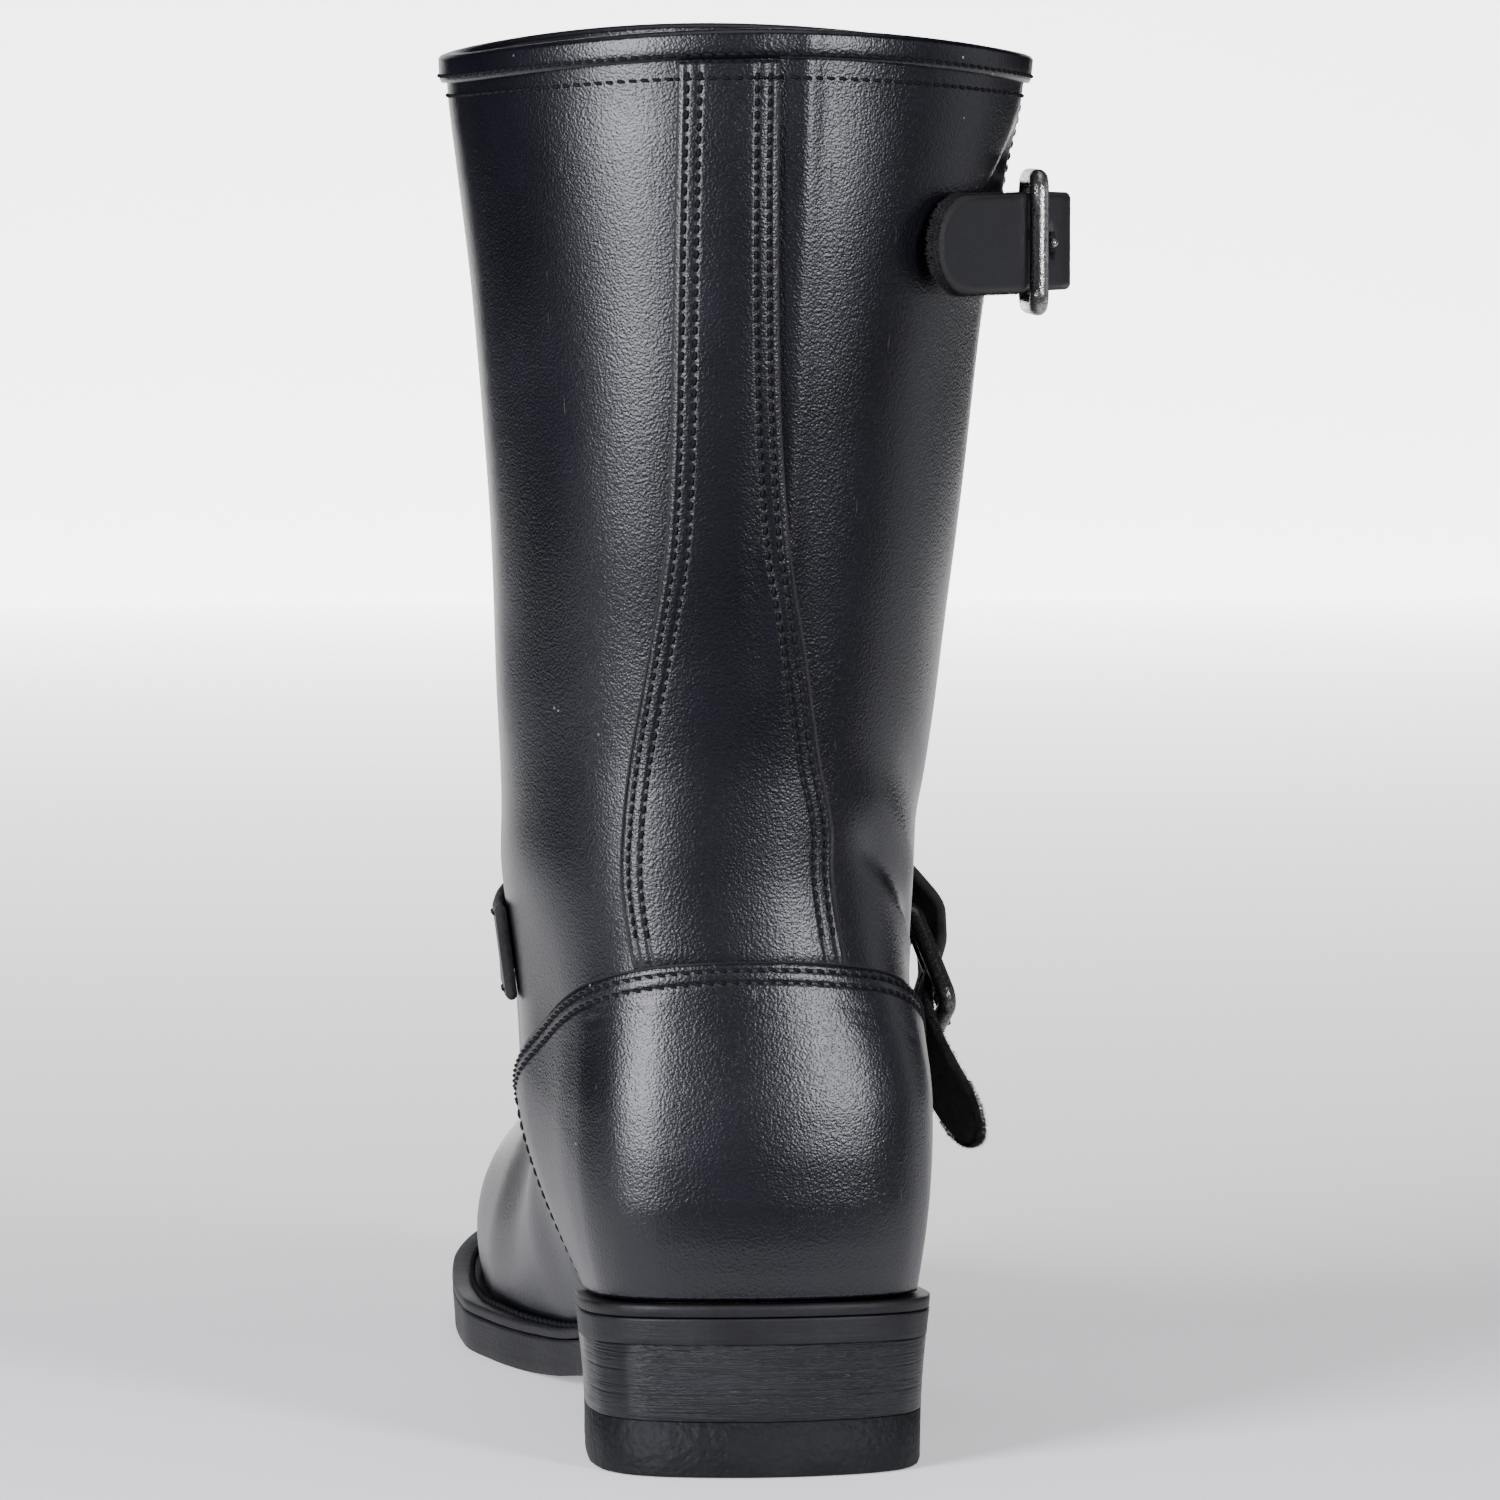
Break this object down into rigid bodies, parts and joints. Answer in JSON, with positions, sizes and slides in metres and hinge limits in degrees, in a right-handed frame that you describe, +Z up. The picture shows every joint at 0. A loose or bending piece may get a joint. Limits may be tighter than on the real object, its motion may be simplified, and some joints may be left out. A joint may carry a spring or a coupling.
{
  "type": "engineer boot",
  "caption": "Tall pull-on engineer boot for the right foot, with a buckled strap at the instep and at the shaft, a welted leather sole and a stacked heel.",
  "frame": {"origin": "on the ground under the middle of the heel", "axes": "+Z up, +Y toward the toe, +X toward the outer side of the foot"},
  "size_m": [0.1376, 0.3135, 0.3144],
  "materials": {
    "boot_leather": "satin",
    "sole_leather": "satin",
    "heel_leather": "satin",
    "heel_rubber": "matte",
    "insole_leather": "matte",
    "buckle_metal": "satin"
  },
  "bodies": {
    "root": {"upper": "boot_leather", "counter": "boot_leather", "back_strip": "boot_leather", "top_binding": "boot_leather", "outsole": "sole_leather", "welt": "sole_leather", "insole": "insole_leather", "heel_stack": "heel_leather", "top_lift": "heel_rubber", "top_strap": "boot_leather", "top_chape": "boot_leather", "top_buckle": "buckle_metal", "top_prong": "buckle_metal", "instep_strap": "boot_leather", "instep_chape": "boot_leather", "instep_buckle": "buckle_metal", "instep_prong": "buckle_metal"}
  },
  "joints": []
}
